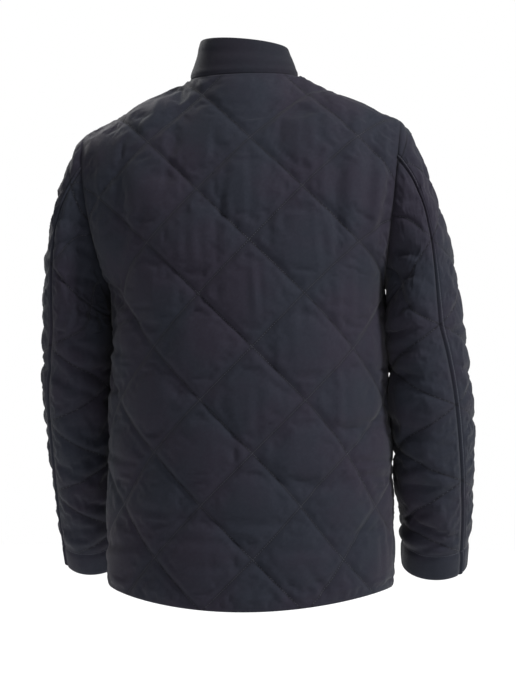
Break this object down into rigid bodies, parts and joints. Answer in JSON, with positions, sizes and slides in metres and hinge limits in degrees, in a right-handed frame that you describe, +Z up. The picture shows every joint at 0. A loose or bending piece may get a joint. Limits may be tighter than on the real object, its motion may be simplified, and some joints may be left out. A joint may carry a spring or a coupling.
{
  "type": "quilted jacket",
  "caption": "Men's diamond-quilted jacket with a plain stand collar, two-piece sleeves and a centre-front zip, in the form it has when worn.",
  "frame": {"origin": "the middle of the neck opening, level with the shoulder ends of the collar seam, where the jacket hangs from the wearer's shoulders", "axes": "+Z up as worn; -Y the way the wearer faces, so the back of the jacket faces +Y; +X the wearer's left"},
  "size_m": [0.6082, 0.3425, 0.7751],
  "materials": {
    "quilted_cloth": "matte fine-woven navy cloth over wadding, stitched in diamonds",
    "collar_cloth": "the same matte navy cloth, not quilted",
    "zip_tape": "dark woven zip tape",
    "zip_metal": "dark metal slider and pull"
  },
  "bodies": {
    "jacket": {"back": "quilted_cloth", "front_left": "quilted_cloth", "front_right": "quilted_cloth", "sleeve_left_top": "quilted_cloth", "sleeve_left_under": "quilted_cloth", "sleeve_right_top": "quilted_cloth", "sleeve_right_under": "quilted_cloth", "collar": "collar_cloth", "zip_tape_left": "zip_tape", "zip_tape_right": "zip_tape", "zip_slider": "zip_metal"},
    "zip_pull": {"zip_pull": "zip_metal"}
  },
  "joints": [
    {"name": "zip_pull_swing", "type": "hinge", "parent": "jacket", "child": "zip_pull", "pos_m": [0, -0.0752, -0.03297], "axis": [-1, 0, 0], "range_deg": [0, 150]}
  ]
}
